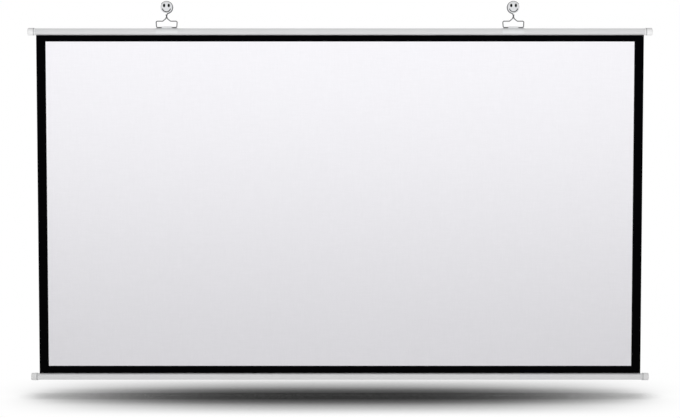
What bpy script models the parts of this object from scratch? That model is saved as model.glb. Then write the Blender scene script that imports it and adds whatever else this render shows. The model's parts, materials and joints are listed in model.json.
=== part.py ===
"""Hanging projection screen.

A taut projection cloth with a black border hangs between two slotted tubes. The hem of each end of
the cloth wraps a rod inside its tube, and a cap closes each end of the tubes. Two clips on the top
tube hold two bent wire hangers, and each hanger loops over a round hook that is stuck to the wall.

Metres, +Z up, and a viewer in front of the screen looks along +Y. The wall is the plane Y = 0. The
origin lies on it, midway between the two wall hooks, at the height of their centres.
"""

import math

import bmesh
import bpy
from mathutils import Matrix

# Cloth: the white picture area, the black border round it and the hems behind it
VIEW_WIDTH = 1.860
VIEW_HEIGHT = 1.046
SIDE_BORDER = 0.0295
TOP_BORDER = 0.0205
BOTTOM_BORDER = 0.0240
CLOTH_THICKNESS = 0.0005
BORDER_THICKNESS = 0.0003
HEM_FLAP = 0.022
HEM_ROD_DIAMETER = 0.007

# Tubes and their end caps
TUBE_DIAMETER = 0.021
TUBE_WALL = 0.0013
SLOT_CLEARANCE = 0.00055
BARE_TUBE = 0.004
CAP_WALL = 0.0012
CAP_LENGTH = 0.023
CAP_END_WALL = 0.004
CAP_EDGE_RADIUS = 0.0045
CAP_COLLAR = 0.0026
CAP_GROOVE_WIDTH = 0.0030
CAP_GROOVE_DEPTH = 0.0007
CAP_CHAMFER = 0.0004

# Wire hangers
HANGER_SPACING = 1.094
WIRE_DIAMETER = 0.0030
LOOP_DIAMETER = 0.0388
LOOP_TIP_ANGLE = 150
LOOP_END_ANGLE = -78
TWIST_LENGTH = 0.0110
TWIST_GAP = 0.0005
NECK_END = 0.0018
SHOULDER_DROP = 0.0088
SHOULDER_HALF = 0.0123
HANGER_HALF_TOP = 0.0333
HANGER_HALF_BAR = 0.0320
HANGER_HEIGHT = 0.0200
HANGER_BEND = 0.0042
NECK_BEND = 0.0024

# Clips that hold the hangers on the top tube
CLIP_LENGTH = 0.0690
CLIP_WALL = 0.0010
CLIP_WRAP = 214
KNUCKLE_LENGTH = 0.032
KNUCKLE_WALL = 0.0011
KNUCKLE_MOUTH = 70

# Wall hooks
PAD_INSET = 0.001
PAD_THICKNESS = 0.001
HOOK_WAIST_DIAMETER = 0.0316
HOOK_WALL = 0.0023
HOOK_FLOOR = 0.0025
HOOK_FLANGE_RISE = 0.0017
HOOK_FLANGE_THICKNESS = 0.003
HOOK_COLLAR_RISE = 0.001
HOOK_COLLAR_REACH = 0.004
FACE_OVERHANG = 0.00195
FACE_EDGE = 0.0025
FACE_CROWN = 0.0060
FACE_WALL = 0.0022
FACE_CHAMFER = 0.0006
FACE_PLUG_DEPTH = 0.003
FACE_PLUG_WALL = 0.0018

# Fits: the gap between pieces that touch, and how far the screen stays off the wall
FIT_GAP = 0.0003
WALL_CLEARANCE = 0.001

# Facets of round shapes, and how near points are merged
TUBE_SEGMENTS = 48
HEM_SEGMENTS = 24
TURNED_SEGMENTS = 32
HOOK_SEGMENTS = 36
CURVE_STEPS = 6
DOME_STEPS = 12
LOOP_STEPS = 22
BEND_STEPS = 4
TWIST_STEPS = 8
WIRE_STEPS = 2
MERGE_DISTANCE = 0.00001

# Worked out from the sizes above
CLOTH_WIDTH = VIEW_WIDTH + 2 * SIDE_BORDER
CLOTH_HEIGHT = TOP_BORDER + VIEW_HEIGHT + BOTTOM_BORDER
TUBE_RADIUS = TUBE_DIAMETER / 2
TUBE_BORE = TUBE_RADIUS - TUBE_WALL
TUBE_SLOT = 3 * CLOTH_THICKNESS + 2 * SLOT_CLEARANCE
CAP_BORE = TUBE_RADIUS + FIT_GAP
CAP_RADIUS = CAP_BORE + CAP_WALL
CAP_GRIP = CAP_LENGTH - CAP_END_WALL
TUBE_LENGTH = CLOTH_WIDTH + 2 * (BARE_TUBE + CAP_GRIP - FIT_GAP)
CAP_RIM_X = CLOTH_WIDTH / 2 + BARE_TUBE
STANDOFF = CAP_RADIUS + WALL_CLEARANCE

HOOK_WAIST = HOOK_WAIST_DIAMETER / 2
HOOK_BORE = HOOK_WAIST - HOOK_WALL
HOOK_FLANGE = HOOK_WAIST + HOOK_FLANGE_RISE
HOOK_COLLAR = HOOK_WAIST + HOOK_COLLAR_RISE
HOOK_RIM = STANDOFF + HOOK_COLLAR_REACH
PAD_RADIUS = HOOK_FLANGE - PAD_INSET
FACE_RADIUS = HOOK_COLLAR + FACE_OVERHANG
FACE_BACK = HOOK_RIM + FIT_GAP

WIRE_RADIUS = WIRE_DIAMETER / 2
LOOP_RADIUS = LOOP_DIAMETER / 2
PIVOT_Z = HOOK_WAIST + FIT_GAP
LOOP_Z = PIVOT_Z + WIRE_RADIUS - LOOP_RADIUS
TWIST_RADIUS = WIRE_RADIUS + TWIST_GAP / 2
LOOP_EXIT = math.radians(LOOP_END_ANGLE)
LOOP_EXIT_BEND = (LOOP_RADIUS * math.cos(LOOP_EXIT) - TWIST_RADIUS) / (1 - math.cos(LOOP_EXIT))
NECK_TOP_Z = LOOP_Z + (LOOP_RADIUS + LOOP_EXIT_BEND) * math.sin(LOOP_EXIT)
TWIST_END_Z = NECK_TOP_Z - TWIST_LENGTH
NECK_END_Z = TWIST_END_Z - NECK_END
SHOULDER_Z = NECK_END_Z - SHOULDER_DROP
BAR_Z = SHOULDER_Z - HANGER_HEIGHT

CLIP_INNER = TUBE_RADIUS + FIT_GAP
CLIP_OUTER = CLIP_INNER + CLIP_WALL
TOP_TUBE_Z = BAR_Z - WIRE_RADIUS - FIT_GAP - CLIP_OUTER
CLOTH_TOP_Z = TOP_TUBE_Z - TUBE_RADIUS - FIT_GAP
CLOTH_BOTTOM_Z = CLOTH_TOP_Z - CLOTH_HEIGHT
BOTTOM_TUBE_Z = CLOTH_BOTTOM_Z - FIT_GAP - TUBE_RADIUS
HEM_INNER = HEM_ROD_DIAMETER / 2 + FIT_GAP
HEM_OUTER = HEM_INNER + CLOTH_THICKNESS
HEM_OFFSET = TUBE_BORE - HEM_OUTER - FIT_GAP

SIDES = {"left": -1, "right": 1}

# Depth, height and width of a cross-section become world Y, Z and X
SECTION_TO_WORLD = Matrix(((0, 0, 1, 0), (1, 0, 0, 0), (0, 1, 0, 0), (0, 0, 0, 1)))


def clear_scene():
    for obj in list(bpy.data.objects):
        bpy.data.objects.remove(obj, do_unlink=True)


def new_collection(name):
    made = bpy.data.collections.new(name)
    bpy.context.scene.collection.children.link(made)
    return made


def new_material(name, colour, roughness, metallic=0.0):
    made = bpy.data.materials.new(name)
    made.use_nodes = True
    shader = made.node_tree.nodes["Principled BSDF"]
    shader.inputs["Base Color"].default_value = (*colour, 1.0)
    shader.inputs["Roughness"].default_value = roughness
    shader.inputs["Metallic"].default_value = metallic
    return made


def new_axis(name, place):
    """An empty on a joint's axis, which carries the pieces that move there."""
    axis = bpy.data.objects.new(name, None)
    axis.location = place
    parts.objects.link(axis)
    return axis


def carry(obj, axis):
    """The piece keeps its place and moves with the axis."""
    obj.parent = axis
    obj.matrix_parent_inverse = Matrix.Translation(axis.location).inverted()


def arc(radius, start, end, steps, centre=(0.0, 0.0)):
    """Points from one angle to another, in degrees, both ends included."""
    angles = [math.radians(start + (end - start) * i / steps) for i in range(steps + 1)]
    return [(centre[0] + radius * math.cos(a), centre[1] + radius * math.sin(a)) for a in angles]


def add_poly(curve, points, cyclic):
    """Adds a spline of straight steps. A point without a third coordinate lies in the plane."""
    spline = curve.splines.new("POLY")
    spline.points.add(len(points) - 1)
    for slot, point in zip(spline.points, points):
        slot.co = (*point, *(0.0,) * (3 - len(point)), 1.0)
    spline.use_cyclic_u = cyclic


def extruded(name, outlines, length, place):
    """A cross-section of (depth, height) outlines, carried along X, with its middle at the place."""
    curve = bpy.data.curves.new(name, "CURVE")
    curve.dimensions = "2D"
    curve.fill_mode = "BOTH"
    curve.extrude = length / 2
    for points in outlines:
        add_poly(curve, points, True)
    obj = bpy.data.objects.new(name, curve)
    obj.matrix_world = Matrix.Translation(place) @ SECTION_TO_WORLD
    return obj


def as_mesh(obj):
    """The same shape as a closed mesh object, for Booleans. The curve is removed."""
    bpy.context.scene.collection.objects.link(obj)
    graph = bpy.context.evaluated_depsgraph_get()
    mesh = bpy.data.meshes.new_from_object(obj.evaluated_get(graph))
    shell = bmesh.new()
    shell.from_mesh(mesh)
    bmesh.ops.remove_doubles(shell, verts=shell.verts, dist=MERGE_DISTANCE)
    shell.to_mesh(mesh)
    shell.free()
    made = bpy.data.objects.new(obj.name + "_mesh", mesh)
    made.matrix_world = obj.matrix_world
    bpy.data.objects.remove(obj, do_unlink=True)
    return made


def turned(name, profile, segments):
    """A profile of (radius, height) points, turned about its own Z axis."""
    mesh = bpy.data.meshes.new(name)
    points = [(radius, 0.0, height) for radius, height in profile]
    mesh.from_pydata(points, [(i, i + 1) for i in range(len(points) - 1)], [])
    obj = bpy.data.objects.new(name, mesh)
    screw = obj.modifiers.new("Screw", "SCREW")
    screw.axis = "Z"
    screw.steps = segments
    screw.render_steps = segments
    screw.use_merge_vertices = True
    screw.merge_threshold = MERGE_DISTANCE
    screw.use_smooth_shade = True
    return obj


def slab(name, x_span, y_span, z_span):
    """A flat strip between three pairs of limits."""
    spans = (x_span, y_span, z_span)
    bpy.ops.mesh.primitive_cube_add(size=1.0, location=[sum(span) / 2 for span in spans])
    obj = bpy.context.object
    obj.name = name
    obj.scale = [abs(span[1] - span[0]) for span in spans]
    bpy.ops.object.transform_apply(location=False, rotation=False, scale=True)
    return obj


def place_part(obj, material, axis):
    for holder in list(obj.users_collection):
        holder.objects.unlink(obj)
    parts.objects.link(obj)
    obj.data.materials.clear()
    obj.data.materials.append(material)
    if axis:
        carry(obj, axis)


def slotted_section(outer, inner, slot, facing):
    """A C-shaped tube wall, with its slot at the angle that it faces."""
    outer_cut = math.degrees(math.asin(slot / 2 / outer))
    inner_cut = math.degrees(math.asin(slot / 2 / inner))
    outside = arc(outer, facing + outer_cut, facing + 360 - outer_cut, TUBE_SEGMENTS)
    inside = arc(inner, facing + 360 - inner_cut, facing + inner_cut, TUBE_SEGMENTS)
    return outside + inside


def cloth_section():
    """The cloth from the side: a hem loop at each end, and a doubled strip where each hem is welded."""
    front = -CLOTH_THICKNESS / 2
    back = CLOTH_THICKNESS / 2
    doubled = back + CLOTH_THICKNESS
    top = TOP_TUBE_Z - HEM_OFFSET
    bottom = BOTTOM_TUBE_Z + HEM_OFFSET
    front_angle = math.degrees(math.acos(front / HEM_OUTER))
    back_angle = math.degrees(math.acos(doubled / HEM_OUTER))
    upper = arc(HEM_OUTER, 360 - front_angle, -back_angle, HEM_SEGMENTS, (0.0, top))
    lower = arc(HEM_OUTER, back_angle, front_angle - 360, HEM_SEGMENTS, (0.0, bottom))
    upper_flap = CLOTH_TOP_Z - HEM_FLAP
    lower_flap = CLOTH_BOTTOM_Z + HEM_FLAP
    behind = [(doubled, upper_flap), (back, upper_flap), (back, lower_flap), (doubled, lower_flap)]
    loops = [arc(HEM_INNER, 0, 360, HEM_SEGMENTS, (0.0, z))[:-1] for z in (top, bottom)]
    return [upper + behind + lower, *loops]


def cap_profile():
    """A cup that slips over the tube's end: rounded end, ring groove, chamfered rim, plain bore."""
    corner = (CAP_RADIUS - CAP_EDGE_RADIUS, CAP_LENGTH - CAP_EDGE_RADIUS)
    floor = CAP_RADIUS - CAP_GROOVE_DEPTH
    return [
        (0.0, CAP_LENGTH),
        *arc(CAP_EDGE_RADIUS, 90, 0, BEND_STEPS, corner),
        (CAP_RADIUS, CAP_COLLAR + CAP_GROOVE_WIDTH),
        (floor, CAP_COLLAR + CAP_GROOVE_WIDTH),
        (floor, CAP_COLLAR),
        (CAP_RADIUS, CAP_COLLAR),
        (CAP_RADIUS, CAP_CHAMFER),
        (CAP_RADIUS - CAP_CHAMFER, 0.0),
        (CAP_BORE, 0.0),
        (CAP_BORE, CAP_GRIP),
        (0.0, CAP_GRIP),
    ]


def swell(share):
    """A smooth rise from 0 to 1."""
    return (1 - math.cos(math.pi * share)) / 2


def hook_base_profile():
    """A spool that is open in front: collar, waist for the wire, flange and a flat back."""
    floor = PAD_THICKNESS + FIT_GAP
    shelf = floor + HOOK_FLANGE_THICKNESS
    shares = [i / CURVE_STEPS for i in range(CURVE_STEPS + 1)]
    before = [
        (HOOK_WAIST + HOOK_COLLAR_RISE * swell(1 - s), HOOK_RIM + (STANDOFF - HOOK_RIM) * s)
        for s in shares
    ]
    behind = [
        (HOOK_WAIST + HOOK_FLANGE_RISE * swell(s), STANDOFF + (shelf - STANDOFF) * s)
        for s in shares[1:]
    ]
    inside = [(0.0, floor + HOOK_FLOOR), (HOOK_BORE, floor + HOOK_FLOOR), (HOOK_BORE, HOOK_RIM)]
    return [*inside, *before, *behind, (HOOK_FLANGE, floor), (0.0, floor)]


def hook_face_profile():
    """A domed cap with a ring behind it that plugs into the hook's base."""
    front = FACE_BACK + FACE_EDGE
    plug = HOOK_BORE - FIT_GAP
    bore = plug - FACE_PLUG_WALL
    lip = FACE_BACK - FACE_PLUG_DEPTH
    ceiling = front + FACE_CROWN - FACE_WALL
    angles = [math.radians(90 * i / DOME_STEPS) for i in range(DOME_STEPS + 1)]
    dome = [(FACE_RADIUS * math.sin(a), front + FACE_CROWN * math.cos(a)) for a in angles]
    edge = [(FACE_RADIUS, FACE_BACK + FACE_CHAMFER), (FACE_RADIUS - FACE_CHAMFER, FACE_BACK)]
    ring = [(plug, FACE_BACK), (plug, lip), (bore, lip), (bore, ceiling)]
    return [*dome, *edge, *ring, (0.0, ceiling)]


def rounded(corners, bend):
    """A line through corners of (x, z), each corner but the ends turned into an arc."""
    line = [corners[0]]
    for before, corner, after in zip(corners, corners[1:], corners[2:]):
        into = math.atan2(corner[1] - before[1], corner[0] - before[0])
        out = math.atan2(after[1] - corner[1], after[0] - corner[0])
        turn = (out - into + math.pi) % (2 * math.pi) - math.pi
        setback = bend * math.tan(abs(turn) / 2)
        side = math.copysign(math.pi / 2, turn)
        begin = (corner[0] - setback * math.cos(into), corner[1] - setback * math.sin(into))
        centre = (begin[0] + bend * math.cos(into + side), begin[1] + bend * math.sin(into + side))
        start = math.degrees(into - side)
        line += arc(bend, start, start + math.degrees(turn), BEND_STEPS, centre)
    return [*line, corners[-1]]


def hanger_route():
    """The wire's centre line, as (x, y, z) about the middle of its hook: the open loop, half a twist
    down the neck, round the trapezium body, and back up the neck beside itself."""
    loop = arc(LOOP_RADIUS, LOOP_TIP_ANGLE, LOOP_END_ANGLE, LOOP_STEPS, (0.0, LOOP_Z))
    exit_centre = (TWIST_RADIUS + LOOP_EXIT_BEND, NECK_TOP_Z)
    hook_exit = arc(LOOP_EXIT_BEND, 180 + LOOP_END_ANGLE, 180, BEND_STEPS, exit_centre)
    angles = [math.pi * i / TWIST_STEPS for i in range(TWIST_STEPS + 1)]
    down = [
        (TWIST_RADIUS * math.cos(a), TWIST_RADIUS * math.sin(a), NECK_TOP_Z - TWIST_LENGTH * a / math.pi)
        for a in angles
    ]
    up = [(-x, -y, z) for x, y, z in reversed(down)]
    neck_end = (-TWIST_RADIUS, NECK_END_Z)
    shoulder = (-SHOULDER_HALF, SHOULDER_Z)
    frame = [neck_end, shoulder, (-HANGER_HALF_TOP, SHOULDER_Z), (-HANGER_HALF_BAR, BAR_Z), (0.0, BAR_Z)]
    neck = rounded([(-TWIST_RADIUS, TWIST_END_Z), neck_end, shoulder], NECK_BEND)[1:-1]
    half = neck + rounded(frame, HANGER_BEND)[1:]
    body = half + [(-x, z) for x, z in reversed(half[:-1])]
    flat = [(x, 0.0, z) for x, z in loop + hook_exit[1:-1]]
    return [*flat, *down, *[(x, 0.0, z) for x, z in body], *up]


def knuckle_section():
    """The hook on a clip that holds the hanger's bar, about the bar: open towards the wall."""
    bore = WIRE_RADIUS + FIT_GAP
    outer = bore + KNUCKLE_WALL
    foot = TOP_TUBE_Z + CLIP_INNER + FIT_GAP - BAR_Z
    lip = KNUCKLE_MOUTH / 2
    return [
        *arc(outer, 180, lip, 2 * CURVE_STEPS),
        *arc(bore, lip, 360 - lip, 3 * CURVE_STEPS),
        (outer * math.cos(math.radians(lip)), -outer * math.sin(math.radians(lip))),
        (outer * math.cos(math.radians(lip)), foot),
        (-outer, foot),
    ]


def clip_section():
    """The band of a clip, about the tube: it springs over the tube's top."""
    first, last = 90 - CLIP_WRAP / 2, 90 + CLIP_WRAP / 2
    outside = arc(CLIP_OUTER, first, last, TUBE_SEGMENTS // 2)
    return outside + arc(CLIP_INNER, last, first, TUBE_SEGMENTS // 2)


def make_tube_set(label, tube_z, slot_angle, hem_z, rod_material, axis):
    """One tube with the rod in its hem and its two end caps."""
    middle = (0.0, -STANDOFF, tube_z)
    wall = slotted_section(TUBE_RADIUS, TUBE_BORE, TUBE_SLOT, slot_angle)
    place_part(extruded(f"{label}_tube", [wall], TUBE_LENGTH, middle), tube_grey, axis)
    rod = [arc(HEM_ROD_DIAMETER / 2, 0, 360, HEM_SEGMENTS)[:-1]]
    rod_middle = (0.0, -STANDOFF, hem_z)
    place_part(extruded(f"{label}_hem_rod", rod, TUBE_LENGTH, rod_middle), rod_material, axis)
    for side, sign in SIDES.items():
        cap = turned(f"{label}_cap_{side}", cap_profile(), TURNED_SEGMENTS)
        cap.location = (sign * CAP_RIM_X, -STANDOFF, tube_z)
        cap.rotation_euler = (0.0, sign * math.pi / 2, 0.0)
        place_part(cap, cap_white, axis)


def make_cloth(axis):
    """The cloth, and the four black strips that lie on its front."""
    cloth = extruded("screen_cloth", cloth_section(), CLOTH_WIDTH, (0.0, -STANDOFF, 0.0))
    place_part(cloth, cloth_white, axis)
    back = -STANDOFF - CLOTH_THICKNESS / 2 - FIT_GAP
    depth = (back - BORDER_THICKNESS, back)
    edge = CLOTH_WIDTH / 2
    upper = CLOTH_TOP_Z - TOP_BORDER
    lower = CLOTH_BOTTOM_Z + BOTTOM_BORDER
    strips = {
        "border_top": ((-edge, edge), (upper, CLOTH_TOP_Z)),
        "border_bottom": ((-edge, edge), (CLOTH_BOTTOM_Z, lower)),
        "border_left": ((-edge, SIDE_BORDER - edge), (lower + FIT_GAP, upper - FIT_GAP)),
        "border_right": ((edge - SIDE_BORDER, edge), (lower + FIT_GAP, upper - FIT_GAP)),
    }
    for name, (width, height) in strips.items():
        place_part(slab(name, width, depth, height), border_black, axis)


def make_clip(side, sign, axis):
    """A clip: the band round the tube, joined to a knuckle for the middle of the hanger's bar."""
    middle = sign * HANGER_SPACING / 2
    clip = as_mesh(extruded("clip", [clip_section()], CLIP_LENGTH, (middle, -STANDOFF, TOP_TUBE_Z)))
    clip.name = f"hanger_clip_{side}"
    where = (middle, -STANDOFF, BAR_Z)
    knuckle = as_mesh(extruded("knuckle", [knuckle_section()], KNUCKLE_LENGTH, where))
    knuckle.hide_render = True
    knuckle.display_type = "WIRE"
    cutters.objects.link(knuckle)
    join = clip.modifiers.new("Join", "BOOLEAN")
    join.operation = "UNION"
    join.object = knuckle
    place_part(clip, clip_white, axis)


def make_hanger(side, sign, axis):
    """One wire, bent to a loop, a twisted neck and a wide body. The two sides are mirror images."""
    curve = bpy.data.curves.new(f"wire_hanger_{side}", "CURVE")
    curve.dimensions = "3D"
    curve.bevel_depth = WIRE_RADIUS
    curve.bevel_resolution = WIRE_STEPS
    curve.use_fill_caps = True
    add_poly(curve, [(-sign * x, y, z) for x, y, z in hanger_route()], False)
    obj = bpy.data.objects.new(f"wire_hanger_{side}", curve)
    obj.location = (sign * HANGER_SPACING / 2, -STANDOFF, 0.0)
    place_part(obj, wire_steel, axis)


def make_wall_hook(side, sign):
    """The round hook: an adhesive pad on the wall, the spool that carries the wire, and its face."""
    pad = [(0.0, PAD_THICKNESS), (PAD_RADIUS, PAD_THICKNESS), (PAD_RADIUS, 0.0), (0.0, 0.0)]
    pieces = (
        (f"adhesive_pad_{side}", pad, pad_grey),
        (f"hook_base_{side}", hook_base_profile(), hook_white),
        (f"hook_face_{side}", hook_face_profile(), hook_white),
    )
    for name, profile, material in pieces:
        piece = turned(name, profile, HOOK_SEGMENTS)
        piece.location = (sign * HANGER_SPACING / 2, 0.0, 0.0)
        piece.rotation_euler = (math.pi / 2, 0.0, 0.0)
        place_part(piece, material, None)


clear_scene()
parts = new_collection("hanging_projection_screen")
cutters = new_collection("joining_shapes")

cloth_white = new_material("matt_white_cloth", (0.86, 0.86, 0.87), 0.9)
border_black = new_material("black_border", (0.006, 0.006, 0.007), 0.85)
tube_grey = new_material("light_grey_paint", (0.66, 0.66, 0.66), 0.45)
cap_white = new_material("white_cap_plastic", (0.80, 0.80, 0.80), 0.4)
clip_white = new_material("white_clip_plastic", (0.78, 0.78, 0.78), 0.4)
wire_steel = new_material("zinc_plated_wire", (0.42, 0.42, 0.43), 0.35, 1.0)
rod_plastic = new_material("white_hem_rod_plastic", (0.72, 0.72, 0.72), 0.5)
rod_steel = new_material("steel_hem_rod", (0.40, 0.40, 0.41), 0.4, 1.0)
hook_white = new_material("white_hook_plastic", (0.83, 0.83, 0.83), 0.3)
pad_grey = new_material("adhesive_foam", (0.60, 0.60, 0.58), 0.9)

screen_axis = new_axis("screen_axis", (0.0, -STANDOFF, BAR_Z))
bottom_axis = new_axis("bottom_bar_axis", (0.0, -STANDOFF, BOTTOM_TUBE_Z))
make_tube_set("top", TOP_TUBE_Z, -90, TOP_TUBE_Z - HEM_OFFSET, rod_plastic, screen_axis)
make_tube_set("bottom", BOTTOM_TUBE_Z, 90, BOTTOM_TUBE_Z + HEM_OFFSET, rod_steel, bottom_axis)
make_cloth(screen_axis)
for side_name, side_sign in SIDES.items():
    hook_axis = new_axis(f"hanger_{side_name}_axis", (side_sign * HANGER_SPACING / 2, -STANDOFF, PIVOT_Z))
    make_wall_hook(side_name, side_sign)
    make_hanger(side_name, side_sign, hook_axis)
    make_clip(side_name, side_sign, screen_axis)
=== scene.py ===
"""Hanging projection screen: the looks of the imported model.

The file is laid out as a Blender add-on and is run as a script. Each operator dresses one group of
pieces: it works out smooth surfaces with numpy, gives them a procedural finish, and lets them ride
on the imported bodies. Metres, +Z up, and a viewer in front of the screen looks along +Y.
"""

import json

import bmesh
import bpy
import numpy as np
from bpy.props import FloatProperty, FloatVectorProperty, PointerProperty
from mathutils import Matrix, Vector


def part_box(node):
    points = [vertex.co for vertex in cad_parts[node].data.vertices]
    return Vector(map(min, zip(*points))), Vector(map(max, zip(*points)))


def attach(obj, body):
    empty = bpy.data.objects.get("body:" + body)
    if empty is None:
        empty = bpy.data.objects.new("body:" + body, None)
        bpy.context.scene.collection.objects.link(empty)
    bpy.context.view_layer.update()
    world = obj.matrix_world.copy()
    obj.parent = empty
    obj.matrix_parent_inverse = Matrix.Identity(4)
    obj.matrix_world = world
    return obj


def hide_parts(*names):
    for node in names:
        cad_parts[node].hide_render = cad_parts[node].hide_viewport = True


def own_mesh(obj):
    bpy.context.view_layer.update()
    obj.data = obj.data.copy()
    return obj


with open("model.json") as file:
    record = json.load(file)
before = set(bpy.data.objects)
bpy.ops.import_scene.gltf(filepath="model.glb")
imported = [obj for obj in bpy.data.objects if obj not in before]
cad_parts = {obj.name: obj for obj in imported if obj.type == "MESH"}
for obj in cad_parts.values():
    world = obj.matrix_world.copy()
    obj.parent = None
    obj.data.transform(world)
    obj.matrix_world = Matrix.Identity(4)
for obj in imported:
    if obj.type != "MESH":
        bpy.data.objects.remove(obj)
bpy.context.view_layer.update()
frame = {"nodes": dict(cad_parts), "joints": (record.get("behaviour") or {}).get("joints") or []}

bl_info = {
    "name": "Hanging projection screen",
    "version": (1, 0, 0),
    "blender": (4, 5, 0),
    "location": "3D View > Sidebar > Screen",
    "description": "Dresses a projection screen with its cloth, rails, hangers and wall hooks",
    "category": "Object",
}

# Places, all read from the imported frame
JOINTS = {joint["name"]: joint for joint in frame["joints"]}
HOOK_X, PLANE_Y, REST_Z = np.abs(JOINTS["hanger_left_swing"]["pos_m"]) * (1, -1, 1)
BAR_Z = JOINTS["screen_tilt"]["pos_m"][2]
CLOTH_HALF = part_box("border_top")[1].x
CLOTH_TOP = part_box("border_top")[1].z
CLOTH_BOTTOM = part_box("border_bottom")[0].z
CLOTH_DROP = CLOTH_TOP - CLOTH_BOTTOM
WINDOW_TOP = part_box("border_top")[0].z
WINDOW_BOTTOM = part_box("border_bottom")[1].z
WINDOW_MIDDLE = (WINDOW_TOP + WINDOW_BOTTOM) / 2
WINDOW_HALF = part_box("border_right")[0].x
RAIL_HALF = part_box("top_tube")[1].x
RAIL_TOP_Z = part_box("top_tube")[1].z
RAIL_BOTTOM_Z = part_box("bottom_tube")[0].z
CAP_RIM_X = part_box("top_cap_right")[0].x
CLIP_HALF = (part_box("hanger_clip_right")[1].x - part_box("hanger_clip_right")[0].x) / 2
SIDES = {"left": -1, "right": 1}

# Each tube's body, the height of its edge away from the cloth, and the way from there to its slot
RAILS = {"top": ("screen", RAIL_TOP_Z, -1), "bottom": ("bottom_bar", RAIL_BOTTOM_Z, 1)}

# Fineness of round shapes, and the gap that pieces in touch keep
AROUND = 96
ARC_STEPS = 10
WIRE_SIDES = 20
RING_STEPS = 4
PAD_STEPS = 3
BEVEL_SEGMENTS = 2
TOUCH_GAP = 0.00002
MERGE_DISTANCE = 0.000001
SHARP_ANGLE = np.radians(38)

# How many points the long pieces have along and across them
CLOTH_COLUMNS = 97
CLOTH_ROWS = 57
FLAP_ROWS = 6
FILM_STEPS = 7
HEM_STATIONS = 5
RAIL_STATIONS = 33
CLIP_STATIONS = 9
FLOOR_STATIONS = 25

# The waves of the cloth, each with its share of the slack, its length and its phase
CLOTH_WAVES = ((0.6, 0.83, 0.6), (0.4, 0.37, 2.1))

# A hem's half opening in thicknesses of cloth, the share of a cap's groove that its grey ring fills,
# whose grey is painted shade of the groove, and the share of a wire's first step that its round end
# takes at most
HEM_OPENING = 1.5
SHADE_RING_FILL = 0.6
TIP_SHARE = 0.9

# The photograph's width in pixels, and the sizes of the lights and the floor
PHOTO_WIDTH = 680
STRIP_LENGTH = 6.0
STRIP_WIDTH = 0.5
FLOOR_HALF = 12.0

# The floor's painted shadow: shares of its reach with the power each is raised to, and the power by
# which it thins out sideways
SHADOW_LAYERS = ((0.25, 13.5), (0.5, 7.6), (1.0, 5.2))
SHADOW_FALL = 2.7
SHADOW_SAMPLES = 32


def linear(code):
    """An sRGB hex code as linear red, green and blue: c / 12.92 near black, else a power of 2.4."""
    srgb = np.array([int(code[i:i + 2], 16) for i in (0, 2, 4)]) / 255
    return tuple(np.where(srgb <= 0.04045, srgb / 12.92, ((srgb + 0.055) / 1.055) ** 2.4))


def length(name, description, default):
    """A setting in metres."""
    return FloatProperty(
        name=name, description=description, default=default, unit="LENGTH", precision=5)


def angle(name, description, degrees):
    """A setting that is given in degrees and kept in radians."""
    return FloatProperty(
        name=name, description=description, default=np.radians(degrees), subtype="ANGLE")


def colour(name, description, code):
    """A setting that is given as an sRGB hex code and kept as a linear colour."""
    return FloatVectorProperty(
        name=name, description=description, default=linear(code), subtype="COLOR")


def amount(name, description, default, unit="NONE"):
    """A setting that is a plain number or a power."""
    return FloatProperty(name=name, description=description, default=default, unit=unit)


class ClothSizes(bpy.types.PropertyGroup):
    thickness: length("Thickness", "Thickness of the coated cloth", 0.0005)
    film: length("Border film", "Thickness of the black film", 0.0003)
    flap: length("Hem flap", "Height of the welded hem on the back", 0.022)
    slack: length("Slack", "Depth of the slow waves in the taut cloth", 0.0003)
    rod: length("Hem rod", "Diameter of the rod in each hem", 0.007)
    play: length("Play", "Gap between the rod and its hem", 0.0003)
    rod_sink: length("Rod sink", "How far a rod lies from its tube's middle to the slot", 0.0046)


class RailSizes(bpy.types.PropertyGroup):
    diameter: length("Diameter", "Outer diameter of the tubes", 0.021)
    wall: length("Wall", "Wall thickness of the tubes", 0.0013)
    slot: length("Slot", "Width of the slot that the cloth leaves by", 0.0026)
    cap_play: length("Cap play", "Gap between a tube and the cap over it", 0.0003)
    cap_wall: length("Cap wall", "Wall thickness of the caps", 0.0012)
    cap_length: length("Cap length", "Length of the caps", 0.023)
    cap_end: length("Cap end", "Thickness of the closed end of the caps", 0.004)
    cap_round: length("Cap rounding", "Radius of the cap's outer edge", 0.0045)
    collar: length("Collar", "Length of the cap between its rim and its groove", 0.0026)
    groove: length("Groove", "Width of the ring groove in the cap", 0.0030)
    groove_depth: length("Groove depth", "Depth of the ring groove", 0.0007)
    gate: length("Gate mark", "Radius of the moulding mark in the middle of the cap's end", 0.0014)
    soft_edge: length("Soft edge", "Radius of the small edges of mouldings", 0.0003)


class HangerSizes(bpy.types.PropertyGroup):
    wire: length("Wire", "Diameter of the wire", 0.0030)
    loop: length("Loop", "Radius of the open loop, at the middle of the wire", 0.0194)
    loop_tip: angle("Loop tip", "Where the loop starts, from the inner side upwards", 150)
    loop_end: angle("Loop end", "Where the loop turns into the neck", -78)
    twist: length("Twist", "Length of the half turn in the neck", 0.0110)
    twist_gap: length("Twist gap", "Gap between the two strands of the neck", 0.0005)
    neck_end: length("Neck end", "Straight length under the twist", 0.0018)
    neck_bend: length("Neck bend", "Radius of the bend under the neck", 0.0024)
    drop: length("Shoulder drop", "Height of the slope from the neck to the shoulder", 0.0088)
    slope: length("Slope", "Half width where the slope meets the shoulder", 0.0123)
    half_top: length("Half top", "Half width of the body at its shoulders", 0.0333)
    half_bar: length("Half bar", "Half width of the body at its bar", 0.0320)
    bend: length("Bend", "Radius of the body's bends", 0.0042)


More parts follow.
